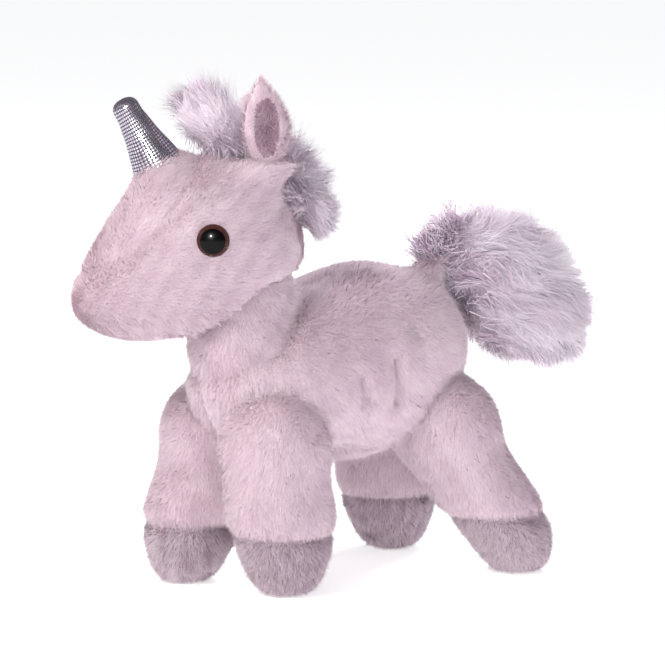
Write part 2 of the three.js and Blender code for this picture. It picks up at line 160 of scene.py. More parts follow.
def node(tree, kind, inputs=(), **settings):
    made = tree.nodes.new(kind)
    for key, value in settings.items():
        setattr(made, key, value)
    for socket, value in dict(inputs).items():
        if isinstance(value, bpy.types.NodeSocket):
            tree.links.new(value, made.inputs[socket])
        else:
            made.inputs[socket].default_value = value
    return made


def blend_colours(tree, share, first, second):
    """Mixes two colours, each a socket or RGBA, by a share socket."""
    mix = tree.nodes.new("ShaderNodeMix")
    mix.data_type = "RGBA"
    tree.links.new(share, mix.inputs["Factor"])
    for socket, value in ((mix.inputs[6], first), (mix.inputs[7], second)):
        if isinstance(value, bpy.types.NodeSocket):
            tree.links.new(value, socket)
        else:
            socket.default_value = value
    return mix.outputs[2]


def cloth_material(name, dark, light, grain=0.6, patch=14, bump=0.5, roughness=0.9, sheen=0.3):
    """Cloth with a fine pile grain and broad soft patches; grain and patch are in millimetres."""
    made = material(name, light, roughness, Sheen_Weight=sheen, Sheen_Roughness=0.4)
    tree = made.node_tree
    shader = tree.nodes["Principled BSDF"]
    place = node(tree, "ShaderNodeTexCoord").outputs["Object"]
    broad = node(tree, "ShaderNodeTexNoise", {"Vector": place, "Scale": 1 / (patch * MM)})
    fine = node(tree, "ShaderNodeTexNoise", {"Vector": place, "Scale": 1 / (grain * MM),
                                            "Detail": 4.0})
    cells = node(tree, "ShaderNodeTexVoronoi", {"Vector": place, "Scale": 0.7 / (grain * MM)})
    both = node(tree, "ShaderNodeMath", {0: broad.outputs["Fac"], 1: fine.outputs["Fac"]},
                operation="ADD")
    spread = node(tree, "ShaderNodeMapRange", {"Value": both.outputs[0], "From Min": 0.7,
                                              "From Max": 1.3})
    colour = blend_colours(tree, spread.outputs["Result"], dark, light)
    tree.links.new(colour, shader.inputs["Base Color"])
    height = node(tree, "ShaderNodeMath", {0: fine.outputs["Fac"], 1: cells.outputs["Distance"]},
                  operation="ADD")
    relief = node(tree, "ShaderNodeBump", {"Height": height.outputs[0], "Strength": bump,
                                          "Distance": grain * MM})
    tree.links.new(relief.outputs["Normal"], shader.inputs["Normal"])
    return made


def strand_tints(name, dark, light, count, root_painted_shade, roughness=0.55):
    """Materials from the darkest strands to the lightest, each as a root and a tip. The root is
    darker by a factor, painted shade deep in the pile.
    """
    made = []
    for i in range(count):
        share = i / (count - 1)
        colour = np.array(dark) * (1 - share) + np.array(light) * share
        # painted shade: the root part of a strand is darker than its tip
        root = colour * np.array([root_painted_shade, root_painted_shade * 0.97, root_painted_shade, 1])
        for part, value in (("root", root), ("tip", colour)):
            made.append(material(f"{name}_{part}_{i}", tuple(value), roughness,
                                 Sheen_Weight=0.25, Specular_IOR_Level=0.35))
    return made


# the number after the count is the roots' painted shade, the share of the tip's colour that they
# keep
FUR_TINTS = strand_tints("fur_strand", tone(214, 185, 199), tone(248, 229, 237), 5, 0.97)
LONG_TINTS = strand_tints("long_strand", tone(220, 194, 216), tone(254, 244, 252), 5, 0.94, 0.45)
HOOF_TINTS = strand_tints("hoof_strand", tone(184, 156, 172), tone(240, 222, 231), 5, 0.85)
LINING_TINTS = strand_tints("lining_strand", tone(128, 86, 112), tone(232, 202, 214), 6, 0.85)
FUR_BED = cloth_material("fur_bed", tone(222, 194, 207), tone(240, 217, 226), sheen=0)
LONG_BED = cloth_material("long_pile_bed", tone(222, 200, 222), tone(242, 226, 242), sheen=0)
HOOF_BED = cloth_material("hoof_bed", tone(152, 122, 140), tone(190, 162, 177))
LINING_BED = cloth_material("lining_bed", tone(160, 122, 144), tone(196, 164, 180))

# ---------------------------------------------------------------- mesh helpers


def arrays(mesh):
    """A mesh's points and triangles as arrays."""
    mesh.calc_loop_triangles()
    points = np.empty(len(mesh.vertices) * 3)
    mesh.vertices.foreach_get("co", points)
    triangles = np.empty(len(mesh.loop_triangles) * 3, np.int64)
    mesh.loop_triangles.foreach_get("vertices", triangles)
    return points.reshape(-1, 3), triangles.reshape(-1, 3)


def ball(centre, radius):
    """The points and triangles of a round plug, which closes the gap round a flexing seam."""
    shape = bmesh.new()
    bmesh.ops.create_icosphere(shape, subdivisions=3, radius=radius)
    mesh = bpy.data.meshes.new("ball")
    shape.to_mesh(mesh)
    shape.free()
    points, triangles = arrays(mesh)
    bpy.data.meshes.remove(mesh)
    return points + centre, triangles


def gather(nodes, plugs=()):
    """The points and triangles of several CAD nodes and round plugs together."""
    points, triangles, start = [], [], 0
    for p, t in [*(arrays(frame["nodes"][name].data) for name in nodes),
                 *(ball(*plug) for plug in plugs)]:
        points.append(p)
        triangles.append(t + start)
        start += len(p)
    return np.concatenate(points), np.concatenate(triangles)


def mesh_object(name, points, triangles, materials=(), slots=None, normals=None):
    mesh = bpy.data.meshes.new(name)
    mesh.vertices.add(len(points))
    mesh.vertices.foreach_set("co", np.ascontiguousarray(points, np.float32).ravel())
    mesh.loops.add(triangles.size)
    mesh.loops.foreach_set("vertex_index", np.ascontiguousarray(triangles, np.int32).ravel())
    mesh.polygons.add(len(triangles))
    mesh.polygons.foreach_set("loop_start", np.arange(0, triangles.size, 3, dtype=np.int32))
    if slots is not None:
        mesh.polygons.foreach_set("material_index", slots.astype(np.int32))
    mesh.update(calc_edges=True)
    mesh.shade_smooth()
    if normals is not None:
        mesh.normals_split_custom_set_from_vertices(normals.astype(np.float32))
    for made in materials:
        mesh.materials.append(made)
    obj = bpy.data.objects.new(name, mesh)
    bpy.context.scene.collection.objects.link(obj)
    return obj


def unit(vectors):
    return vectors / np.maximum(np.linalg.norm(vectors, axis=-1, keepdims=True), 1e-12)


def vertex_normals(points, triangles):
    a, b, c = (points[triangles[:, k]] for k in range(3))
    face = np.cross(b - a, c - a)
    total = np.zeros_like(points)
    for k in range(3):
        for axis in range(3):
            total[:, axis] += np.bincount(triangles[:, k], face[:, axis], len(points))
    return unit(total)


def edges_of(triangles):
    pairs = np.concatenate([triangles[:, [0, 1]], triangles[:, [1, 2]], triangles[:, [2, 0]]])
    return np.unique(np.sort(pairs, axis=1), axis=0)


def relaxed(values, edges, rounds, share=0.5):
    """Each vertex's value moves towards the mean of its neighbours', several times."""
    both = np.concatenate([edges, edges[:, ::-1]])
    count = np.maximum(np.bincount(both[:, 0], minlength=len(values)), 1)[:, None]
    for _ in range(rounds):
        near = np.stack([np.bincount(both[:, 0], values[both[:, 1], k], len(values))
                         for k in range(values.shape[1])], axis=1)
        values = values * (1 - share) + near / count * share
    return values


def largest_part(points, triangles):
    """The biggest connected piece of a mesh, without the shells of its hollows."""
    label = np.arange(len(points))
    while True:
        low = label[triangles].min(axis=1)
        lower = label.copy()
        np.minimum.at(lower, triangles.ravel(), np.repeat(low, 3))
        lower = lower[lower]
        if (lower == label).all():
            break
        label = lower
    sizes = np.bincount(label[triangles[:, 0]])
    return only(points, triangles, label[triangles[:, 0]] == sizes.argmax())[:2]


def only(points, triangles, keep):
    """The kept triangles with just the points they use, and which points those were."""
    kept = triangles[keep]
    used, inverse = np.unique(kept, return_inverse=True)
    return points[used], inverse.reshape(-1, 3), used


def remeshed(points, triangles, voxel):
    """One closed even skin round everything in the mesh; voxel is in metres."""
    work = mesh_object("work", points, triangles)
    even = work.modifiers.new("even", "REMESH")
    even.mode, even.voxel_size = "VOXEL", voxel
    graph = bpy.context.evaluated_depsgraph_get()
    made = bpy.data.meshes.new_from_object(work.evaluated_get(graph))
    result = largest_part(*arrays(made))
    bpy.data.objects.remove(work)
    bpy.data.meshes.remove(made)
    return result


def shrunk(points, triangles, depth, steps=3, rounds=2):
    """The skin moved inward by depth, smoothed on the way."""
    edges = edges_of(triangles)
    points = relaxed(points, edges, 3)
    for _ in range(steps):
        points = points - vertex_normals(points, triangles) * depth / steps
        points = relaxed(points, edges, rounds, 0.3)
    return points


def tree_of(nodes):
    points, triangles = gather(nodes)
    return BVHTree.FromPolygons(points.tolist(), triangles.tolist())


def distances(points, tree):
    return np.array([tree.find_nearest(p)[3] for p in points.tolist()])


def swirl(points, size, seed, count=6):
    """A smooth random vector field of about that feature size in metres, within about -1 to 1."""
    rng = np.random.default_rng(seed)
    waves = unit(rng.normal(size=(count, 3))) * rng.uniform(0.6, 1.4, (count, 1)) / size
    phase = rng.uniform(0, 2 * math.pi, count)
    way = rng.normal(size=(count, 3)) / math.sqrt(count / 2)
    return np.sin(points @ waves.T * 2 + phase) @ way


# ---------------------------------------------------------------- pile


def scatter(points, triangles, per_mm2, rng):
    """Random places on a mesh: the triangle of each and its share of the three corners."""
    a, b, c = (points[triangles[:, k]] for k in range(3))
    area = np.linalg.norm(np.cross(b - a, c - a), axis=1) / 2 / MM ** 2
    total = np.cumsum(area)
    count = int(total[-1] * per_mm2)
    which = np.searchsorted(total, rng.uniform(0, total[-1], count)).clip(0, len(area) - 1)
    u, v = rng.uniform(size=(2, count))
    over = u + v > 1
    u[over], v[over] = 1 - u[over], 1 - v[over]
    return which, np.stack([1 - u - v, u, v], axis=1)


def strand_mesh(name, lines, side, width, tint, tints, normals):
    """Tapered ribbons along centre lines of shape (strands, points, 3)."""
    count, long = lines.shape[:2]
    taper = np.linspace(1, 0.45, long - 1)
    offset = side[:, None, :] * (width[:, None] * taper[None, :] / 2)[:, :, None]
    left, right = lines[:, :-1] - offset, lines[:, :-1] + offset
    per = 2 * (long - 1) + 1
    points = np.empty((count, per, 3))
    points[:, 0:per - 1:2], points[:, 1:per - 1:2] = left, right
    points[:, -1] = lines[:, -1]
    first = np.arange(count)[:, None, None] * per
    faces = []
    for i in range(long - 2):
        k = 2 * i
        faces += [[k, k + 1, k + 3], [k, k + 3, k + 2]]
    faces.append([per - 3, per - 2, per - 1])
    triangles = (first + np.array(faces)[None]).reshape(-1, 3)
    tip_from = max(1, round(len(faces) * 0.5))
    part = (np.arange(len(faces)) >= tip_from).astype(int)
    slots = (tint[:, None] * 2 + part[None]).ravel()
    return mesh_object(name, points.reshape(-1, 3), triangles, tints, slots,
                       np.repeat(normals, per, axis=0))


def tint_index(value, count):
    return np.clip(np.round(value * (count - 1)), 0, count - 1).astype(int)


UPRIGHT = 0.1  # share of the pile's strands that stand out of it
UPRIGHT_RISE, UPRIGHT_LAY = 1.7, 0.6  # how much higher and how much less laid over they are
LOOSE_FLOW, CLUMP_FLOW = 0.14, 0.07  # how far the way the pile lies wanders, broadly and finely
STRAY = 0.13  # how far a tip strays, per height
SEAM_REACH = 1.5 * MM  # how far from a seam the pile is shortened and darkened with painted shade
SEAM_RISE, SEAM_LAY = 0.3, 0.45  # the share of its height and lay that it loses there
BEND_RISE, BEND_LAY = 0.58, 0.42  # where a strand bends, as shares of its height and lay
MIDDLE_TINT, STREAKS, PATCHES, SPECKLE = 0.58, 0.1, 0.07, 0.24  # of the strands' colours


def pile(name, skin, faces, look, seed):
    """Short pile on some faces of a skin. Look holds density per mm2; height, lay, width and
    clump size in mm; how far clumps gather; the tints; the streaks' stretch; the painted shade
    at seams and creases."""
    rng = np.random.default_rng(seed)
    points, normals = skin["points"], skin["normals"]
    triangles = skin["triangles"][faces]
    which, share = scatter(points, triangles, look["density"], rng)
    corners = triangles[which]

    def at(values):
        return (values[corners] * share.reshape(-1, 3, *([1] * (values.ndim - 1)))).sum(axis=1)

    root, normal, flow = at(points), unit(at(normals)), at(skin["flow"])
    seam, room = at(skin["seam"]), at(skin["room"])
    keep = room > 0.2 * MM
    root, normal, flow, seam, room = (v[keep] for v in (root, normal, flow, seam, room))
    count = len(root)
    loose = swirl(root, 11 * MM, seed + 1)
    flow = flow + LOOSE_FLOW * loose + CLUMP_FLOW * swirl(root, look["clump"] * MM, seed + 2)
    flow = unit(flow - (flow * normal).sum(axis=1, keepdims=True) * normal)
    near_seam = np.exp(-((seam / SEAM_REACH) ** 2))
    rise = look["height"] * MM * rng.uniform(0.75, 1.12, count) * (1 - SEAM_RISE * near_seam)
    lay = look["lay"] * MM * rng.uniform(0.7, 1.15, count) * (1 - SEAM_LAY * near_seam)
    upright = rng.random(count) < UPRIGHT
    rise = np.minimum(np.where(upright, rise * UPRIGHT_RISE, rise), room)
    lay = np.where(upright, lay * UPRIGHT_LAY, lay)
    stray = rng.normal(size=(count, 3)) * STRAY
    cell = look["clump"] * MM
    moved = root + swirl(root, 6 * MM, seed + 3) * cell * 0.8
    centre = (np.floor(moved / cell) + 0.5) * cell - moved
    centre -= (centre * normal).sum(axis=1, keepdims=True) * normal
    tip = root + normal * rise[:, None] + flow * lay[:, None]
    tip += centre * look["gather"] + stray * rise[:, None]
    middle = root + normal * (rise * BEND_RISE)[:, None] + flow * (lay * BEND_LAY)[:, None]
    lines = np.stack([root, middle, tip], axis=1)
    lines[:, :, 2] = lines[:, :, 2].clip(0)  # nothing goes through the floor
    along = unit(tip - root)
    side = unit(np.cross(along, normal) + rng.normal(size=(count, 3)) * 0.25)
    streak = swirl(root * look["streak"], look["clump"] * 1.2 * MM, seed + 4)[:, 0]
    patch = swirl(root, 16 * MM, seed + 5)[:, 0]
    value = MIDDLE_TINT + STREAKS * streak + PATCHES * patch + rng.normal(size=count) * SPECKLE
    # painted shade: strands near a seam or crease take darker tints
    value -= look["seam_painted_shade"] * near_seam
    shading = unit(normal + 0.12 * along + rng.normal(size=(count, 3)) * 0.08)
    width = look["width"] * MM * rng.uniform(0.75, 1.2, count)
    return strand_mesh(name, lines, side, width, tint_index(value, len(look["tints"]) // 2),
                       look["tints"], shading)


EVEN = np.array([1.0, 1.0, 1.0])
PILE_DEPTH = 1.7 * MM  # how far the cloth under the body's pile lies inside the CAD cover
BODY_VOXEL = 2.4 * MM  # the grain of the remeshed skins of body and head
GROOVE, HEAD_GROOVE = 1.1 * MM, 0.6 * MM  # how deep the seams lie
# the last entry of each look is painted shade: how much darker the pile is tinted at seams and
# creases
BODY_PILE = dict(density=8, height=1.8, lay=2.5, width=0.24, clump=2, gather=0.03,
                 tints=FUR_TINTS, streak=EVEN, seam_painted_shade=0.1)
FACE_PILE = dict(BODY_PILE, density=11, height=1.5, lay=2.2, gather=0.0)
EAR_PILE = dict(BODY_PILE, height=1.9, lay=1.5, clump=1.8, density=10)
HOOF_PILE = dict(density=8, height=1.8, lay=1.5, width=0.32, clump=1.3, gather=0.35,
                 tints=HOOF_TINTS, streak=np.array([1.0, 1.0, 0.3]), seam_painted_shade=0.1)
# the lining takes strong painted shade at its crease
LINING_PILE = dict(HOOF_PILE, height=1.5, lay=1.4, tints=LINING_TINTS, seam_painted_shade=0.7)

# ---------------------------------------------------------------- skins

HIP_PLUG, NECK_PLUG, TAIL_PLUG, HORN_PLUG, EAR_PLUG = (r * MM for r in (22, 22.5, 8, 11.8, 6.6))
LEGS = ("front_left", "front_right", "hind_left", "hind_right")
TORSO_PANELS = ("torso_left_panel", "torso_right_panel", "belly_gusset")
HEAD_PANELS = ("head_left_panel", "head_right_panel", "forehead_gusset")
TORSO_FLOW, NECK_FLOW = np.array([0.62, 0.0, -0.72]), np.array([0.45, 0, -0.9])
FAR_FROM_SEAM = 1.0  # metres, for a skin without one
FREE_ROOM = 9 * MM  # more than any short pile needs
SEAM_HOLD = 1.6 * MM  # the cloth is held this far from a seam while it swells
GROOVE_WIDTH = 2.4 * MM


def make_skin(nodes, labels, voxel, depth, flows, plugs=(), groove_depth=GROOVE, favour=(),
              stuffed=False):
    """A skin round the nodes, moved inward by depth, and which labelled CAD node each point
    is nearest to; favour is a reach that a label gains over the others. Flows gives the way
    the pile lies on each."""
    points, triangles = remeshed(*gather(nodes, plugs), voxel)
    points = shrunk(points, triangles, depth + (SWELL if stuffed else 0))
    near = np.stack([distances(points, tree_of([label])) for label in labels])
    for label, reach in dict(favour).items():
        near[labels.index(label)] -= reach
    order = np.sort(near, axis=0)
    owner = near.argmin(axis=0)
    seam = np.sqrt(np.maximum(order[1] ** 2 - order[0] ** 2, 0)) if len(labels) > 1 else \
        np.full(len(points), FAR_FROM_SEAM)
    edges = edges_of(triangles)
    flow = np.array([flows[label] for label in labels])[owner]
    flow = relaxed(flow, edges, 10)
    if stuffed:
        points = swell(points, triangles, seam < SEAM_HOLD)
        points = relaxed(points, edges, 2)
    groove = np.exp(-((seam / GROOVE_WIDTH) ** 2))[:, None]
    points = points - vertex_normals(points, triangles) * groove * groove_depth
    return {"points": points, "triangles": triangles, "labels": labels, "owner": owner,
            "seam": seam, "flow": flow, "normals": vertex_normals(points, triangles),
            "room": np.full(len(points), FREE_ROOM)}


SWELL = 1.2 * MM  # about how far the stuffing pushes the cloth out between its seams
MOST_SWELL = 1.6 * SWELL  # and no point moves further than this
CLOTH_SCALE = 20  # the cloth is simulated this much enlarged, where the solver is at home
CLOTH_STEPS = 20
PRESSURE, CLOTH_MASS = 4, 0.03
STRETCH, SHEAR, BENDING = 1.2, 0.5, 0.2  # how stiff the cloth is


def swell(points, triangles, held):
    """The stuffing pushes the cloth out between its held seams, by cloth simulation
    under pressure."""
    work = mesh_object("work", points * CLOTH_SCALE, triangles)
    work.vertex_groups.new(name="held").add(np.flatnonzero(held).tolist(), 1, "REPLACE")
    cloth = work.modifiers.new("cloth", "CLOTH")
    cloth.settings.use_pressure = True
    cloth.settings.uniform_pressure_force = PRESSURE
    cloth.settings.quality = 4
    cloth.settings.tension_stiffness = cloth.settings.compression_stiffness = STRETCH
    cloth.settings.shear_stiffness = SHEAR
    cloth.settings.bending_stiffness = BENDING
    cloth.settings.mass = CLOTH_MASS
    cloth.settings.vertex_group_mass = "held"
    cloth.settings.effector_weights.gravity = 0
    cloth.collision_settings.use_collision = False
    scene = bpy.context.scene
    for step in range(1, CLOTH_STEPS + 1):
        scene.frame_set(step)
    graph = bpy.context.evaluated_depsgraph_get()
    moved = np.empty(points.size)
    work.evaluated_get(graph).data.vertices.foreach_get("co", moved)
    bpy.data.objects.remove(work)
    scene.frame_set(1)
    move = moved.reshape(-1, 3) / CLOTH_SCALE - points
    length = np.linalg.norm(move, axis=1, keepdims=True)
    return points + move * np.minimum(1, MOST_SWELL / np.maximum(length, 1e-9))


OTHER_SIDE = 8 * MM  # skin this far above or below a crease's line isn't pressed


def creased(skin, creases):
    """Presses soft creases into a skin: each runs between two points, in metres, and is as
    wide and deep as it says, in millimetres."""
    for start, end, width, depth in creases:
        way = end - start
        along = ((skin["points"] - start) @ way / (way @ way)).clip(0, 1)
        gap = skin["points"] - start - along[:, None] * way
        out = (gap * skin["normals"]).sum(axis=1, keepdims=True)
        gap = np.linalg.norm(gap - out * skin["normals"], axis=1)
        gap = np.where(np.abs(out[:, 0]) > OTHER_SIDE, FAR_FROM_SEAM, gap)
        press = np.exp(-((gap / (width * MM)) ** 2))[:, None] * depth * MM
        skin["points"] = skin["points"] - skin["normals"] * press
        # a crease counts as a seam, so the pile in it is shortened and given painted shade
        skin["seam"] = np.minimum(skin["seam"], gap)
    skin["normals"] = vertex_normals(skin["points"], skin["triangles"])


def faces_of(skin, label):
    """The triangles whose corners mostly lie nearest to that node."""
    first, second, third = skin["owner"][skin["triangles"]].T
    return np.where(second == third, second, first) == skin["labels"].index(label)


CROWD_REACH = 8 * MM


def crowd(skin, other):
    """Shortens a skin's pile where another closed skin is near, and drops it inside that one."""
    tree = BVHTree.FromPolygons(other["points"].tolist(), other["triangles"].tolist())
    lo = other["points"].min(axis=0) - CROWD_REACH
    hi = other["points"].max(axis=0) + CROWD_REACH
    close = np.flatnonzero(((skin["points"] > lo) & (skin["points"] < hi)).all(axis=1))
    for i in close:
        place, way, _, gap = tree.find_nearest(skin["points"][i])
        if (Vector(skin["points"][i]) - place).dot(way) < 0:
            gap = -gap
        skin["room"][i] = min(skin["room"][i], gap)


def settle(obj, ways):
    """Rides obj on one body; given two, it only bakes obj's transform into its mesh."""
    if isinstance(ways, str):
        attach(obj, ways)
    else:
        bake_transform(obj)
    return obj


def cover(name, skin, label, bed, look, ways, stands_for, seed):
    """A piece of skin and the pile on it."""
    faces = faces_of(skin, label)
    points, triangles, _ = only(skin["points"], skin["triangles"], faces)
    cloth = settle(mesh_object(name, points, triangles, [bed]), ways)
    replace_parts(cloth, *stands_for)
    hair = settle(pile(name + "_pile", skin, faces, look, seed), ways)


# ---------------------------------------------------------------- build: body

put_camera()
light_up()
FLOOR_REACH = 30
floor = mesh_object("floor", np.array([[-1, -1, 0], [1, -1, 0], [1, 1, 0], [-1, 1, 0.0]])
                    * FLOOR_REACH, np.array([[0, 1, 2], [0, 2, 3]]),
                    [material("floor", (0.93, 0.93, 0.94, 1), 0.9,
                              Emission_Color=(1, 1, 1, 1), Emission_Strength=0.6)])

leg_covers = [f"{leg}_leg_cover" for leg in LEGS]
hoof_covers = [f"{leg}_hoof_cover" for leg in LEGS]
body_flows = dict.fromkeys(TORSO_PANELS, TORSO_FLOW)
body_flows |= dict.fromkeys(leg_covers + hoof_covers, -UP)
body_flows["neck_cover"] = NECK_FLOW
body_skin = make_skin(
    [*TORSO_PANELS, "torso_stuffing", "neck_cover", "neck_stuffing", *leg_covers, *hoof_covers,
     *(f"{leg}_leg_stuffing" for leg in LEGS)],
    [*TORSO_PANELS, "neck_cover", *leg_covers, *hoof_covers], BODY_VOXEL, PILE_DEPTH, body_flows,
    [*((JOINTS[leg + "_leg_swing"], HIP_PLUG) for leg in LEGS),
     (JOINTS["neck_turn"], NECK_PLUG), (JOINTS["tail_wag"], TAIL_PLUG)], stuffed=True)
# from where, to where, how wide and how deep, all in mm; the same on both flanks
FLANK_CREASES = [((-18.5, 35, 80), (-16, 34, 71), 2.4, 3.4),
                 ((-3, 35, 86), (-2, 33, 69), 2.4, 3.6),
                 ((0.5, 30, 102), (7, 33, 95), 2.6, 1.5),
                 ((-2, 30, 59), (8, 26, 57), 2.6, 1.0)]
creased(body_skin, [(np.array(a) * (1, side, 1) * MM, np.array(b) * (1, side, 1) * MM,
                     width, depth)
                    for a, b, width, depth in FLANK_CREASES for side in (-1, 1)])
head_labels = [*HEAD_PANELS, "neck_cover"]
head_plugs = [(JOINTS["horn_bend"], HORN_PLUG)]
head_plugs += [(JOINTS[f"ear_{side}_fold"] + FACING * along * MM, EAR_PLUG)
               for side in ("left", "right") for along in (-6, -2, 2, 6)]
head_skin = make_skin([*HEAD_PANELS, "head_stuffing", "neck_cover", "neck_stuffing"],
                      head_labels, BODY_VOXEL, PILE_DEPTH, dict.fromkeys(head_labels, -FACING),
                      head_plugs, groove_depth=HEAD_GROOVE, stuffed=True)
MOUTH = JOINTS["head_nod"] + (40.5 * FACING - 10 * UP) * MM  # a dimple at each corner of it
creased(head_skin, [(MOUTH + (side * 16.5 * SIDEWAYS + 2 * FACING) * MM,
                     MOUTH + (side * 17 * SIDEWAYS - 2 * FACING - 2 * UP) * MM, 2.2, 1.6)
                    for side in (-1, 1)])
head_points = gather(HEAD_PANELS)[0]
nose = head_points[(head_points @ FACING - 0.3 * head_points[:, 2]).argmax()]
head_skin["flow"] = unit(head_skin["points"] - nose) - 0.3 * UP
head_alone = dict(zip(("points", "triangles"),
                      remeshed(*gather([*HEAD_PANELS, "head_stuffing"]), 3 * MM)))
crowd(body_skin, head_alone)

NECK_BEND = ("torso", "neck", JOINTS["neck_turn"] + 20 * MM * UP,
             JOINTS["neck_turn"] + 36 * MM * UP)
NOD_START = JOINTS["head_nod"] - 10 * MM * FACING - 7 * MM * UP
HEAD_BEND = ("neck", "head", NOD_START, NOD_START + 22 * MM * FACING + 17 * MM * UP)
for i, panel in enumerate(TORSO_PANELS):
    stands_for = [panel] + (["torso_stuffing"] if i == 0 else [])
    cover(panel + "_skin", body_skin, panel, FUR_BED, BODY_PILE, "torso", stands_for,
          10 + i)
cover("neck_skin", body_skin, "neck_cover", FUR_BED, BODY_PILE, NECK_BEND,
      ["neck_cover", "neck_stuffing"], 20)
for i, panel in enumerate(HEAD_PANELS):
    stands_for = [panel] + (["head_stuffing"] if i == 0 else [])
    cover(panel + "_skin", head_skin, panel, FUR_BED, FACE_PILE, HEAD_BEND, stands_for,
          30 + i)

HOOF_VOXEL, HOOF_PILE_DEPTH = 1.8 * MM, 1.8 * MM
HOOF_TOP = 26 * MM  # the hoof's skin runs on up inside the leg's to here
for i, leg in enumerate(LEGS):
    hip = JOINTS[leg + "_leg_swing"]
    bend = ("torso", "leg_" + leg, hip - 4 * MM * UP, hip - 24 * MM * UP)
    cover(leg + "_leg_skin", body_skin, leg + "_leg_cover", FUR_BED, BODY_PILE, bend,
          [leg + "_leg_cover", leg + "_leg_stuffing"], 40 + i)
    hoof_name = leg + "_hoof_cover"
    hoof = make_skin([hoof_name, leg + "_foot_pellets", leg + "_leg_stuffing"], [hoof_name],
                     HOOF_VOXEL, HOOF_PILE_DEPTH, {hoof_name: -UP})
    keep = hoof["points"][hoof["triangles"]].mean(axis=1)[:, 2] < HOOF_TOP
    hoof["triangles"] = hoof["triangles"][keep]
    cover(leg + "_hoof_skin", hoof, hoof_name, HOOF_BED, HOOF_PILE, "leg_" + leg, [hoof_name],
          50 + i)

# ---------------------------------------------------------------- build: ears

EAR_VOXEL, EAR_PILE_DEPTH = 1.3 * MM, 1.6 * MM
LINING_REACH = 0.2 * MM
EAR_CREASE = 1 * MM  # how far behind the hinge the crease in the lining runs
CREASE_SPREAD = 1.5  # how much wider than a seam's its painted shade is
NO_CREASE = 9 * MM  # how far from one the back counts as being
for i, side in enumerate(("left", "right")):
    back, lining = f"ear_{side}_back", f"ear_{side}_lining"
    hinge = JOINTS[f"ear_{side}_fold"]
    tip = np.array(gather([back])[0])
    tip = tip[tip[:, 2].argmax()]
    upright = unit(tip - hinge)
    ear_skin = make_skin([back, lining], [back, lining], EAR_VOXEL, EAR_PILE_DEPTH,
                         {back: upright, lining: upright}, groove_depth=0,
                         favour={lining: LINING_REACH})
    off_middle = np.abs((ear_skin["points"] - hinge) @ FACING + EAR_CREASE) / CREASE_SPREAD
    # the lining's crease is given as a seam: shorter pile there, and painted shade darkens it
    ear_skin["seam"] = np.where(ear_skin["owner"] == 1, off_middle, NO_CREASE)
    bend = ("head", f"ear_{side}", hinge, hinge + 9 * MM * upright)
    cover(back + "_skin", ear_skin, back, FUR_BED, EAR_PILE, bend, [back], 60 + i)
    cover(lining + "_skin", ear_skin, lining, LINING_BED, LINING_PILE, bend, [lining],
          64 + i)

# ---------------------------------------------------------------- build: long pile

HAIR_INSIDE = 0.57  # share of a long hair that lies inside the CAD solid's skin


def tufts(name, core_nodes, combed, look, ways, seed):
    """Long hair that ends on the CAD solid's skin: each strand is drawn back from its tip
    towards the root, and the tips gather into tufts."""
    rng = np.random.default_rng(seed)
    points, triangles = remeshed(*gather(core_nodes), 2 * MM)
    points = relaxed(points, edges_of(triangles), 4)
    normals = vertex_normals(points, triangles)
    which, share = scatter(points, triangles, look["density"], rng)
    corners = triangles[which]
    skin_point = (points[corners] * share[:, :, None]).sum(axis=1)
    normal = unit((normals[corners] * share[:, :, None]).sum(axis=1))
    count = len(skin_point)
    depth = rng.uniform(0, look["inner"], count) * MM
    start = skin_point - normal * depth[:, None]
    way = combed(start, normal)
    way = unit(way + look["wild"] * swirl(start, look["tuft"] * MM, seed + 1)
               + look["stray"] * rng.normal(size=(count, 3)))
    length = look["length"] * MM * rng.uniform(0.6, 1.2, count)
    length *= 1 + 0.35 * swirl(start, look["tuft"] * MM, seed + 6)[:, 0]
    curl = unit(np.cross(way, normal) + 0.3 * rng.normal(size=(count, 3)))
    arch = (rng.normal(size=count) * 0.12 + 0.1 * swirl(start, 9 * MM, seed + 2)[:, 0]) * length
    steps = np.linspace(-HAIR_INSIDE, 1 - HAIR_INSIDE, 5)
    tuft = look["tuft"] * MM
    moved = start + swirl(start, 8 * MM, seed + 3) * tuft * 0.6
    to_centre = (np.floor(moved / tuft) + 0.5) * tuft - moved
    to_centre -= (to_centre * way).sum(axis=1, keepdims=True) * way
    lines = []
    for step in steps:
        grown = step + HAIR_INSIDE
        lines.append(start + way * (length * step)[:, None]
                     + curl * (arch * (4 * grown * (1 - grown) - 0.6))[:, None]
                     + to_centre * (look["gather"] * grown ** 1.5)
                     - normal * (look["tuck"] * MM * (1 - grown)))
    side = unit(np.cross(way, normal) + rng.normal(size=(count, 3)) * 0.5)
    value = 0.66 + 0.16 * swirl(start, look["tuft"] * 1.3 * MM, seed + 4)[:, 0]
    # painted shade: strands that start deeper inside take darker tints
    value += rng.normal(size=count) * 0.2 - 0.2 * depth / (look["inner"] * MM)
    shading = unit(normal + 0.3 * way + rng.normal(size=(count, 3)) * 0.25)
    width = look["width"] * MM * rng.uniform(0.7, 1.2, count)
    hair = strand_mesh(name + "_hair", np.stack(lines, axis=1), side, width,
                       tint_index(value, len(LONG_TINTS) // 2), LONG_TINTS, shading)
    settle(hair, ways)
    core = shrunk(points, triangles, look["inner"] * MM, 5, 3)
    bed = settle(mesh_object(name + "_bed", core, triangles, [LONG_BED]), ways)
    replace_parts(bed, *core_nodes)


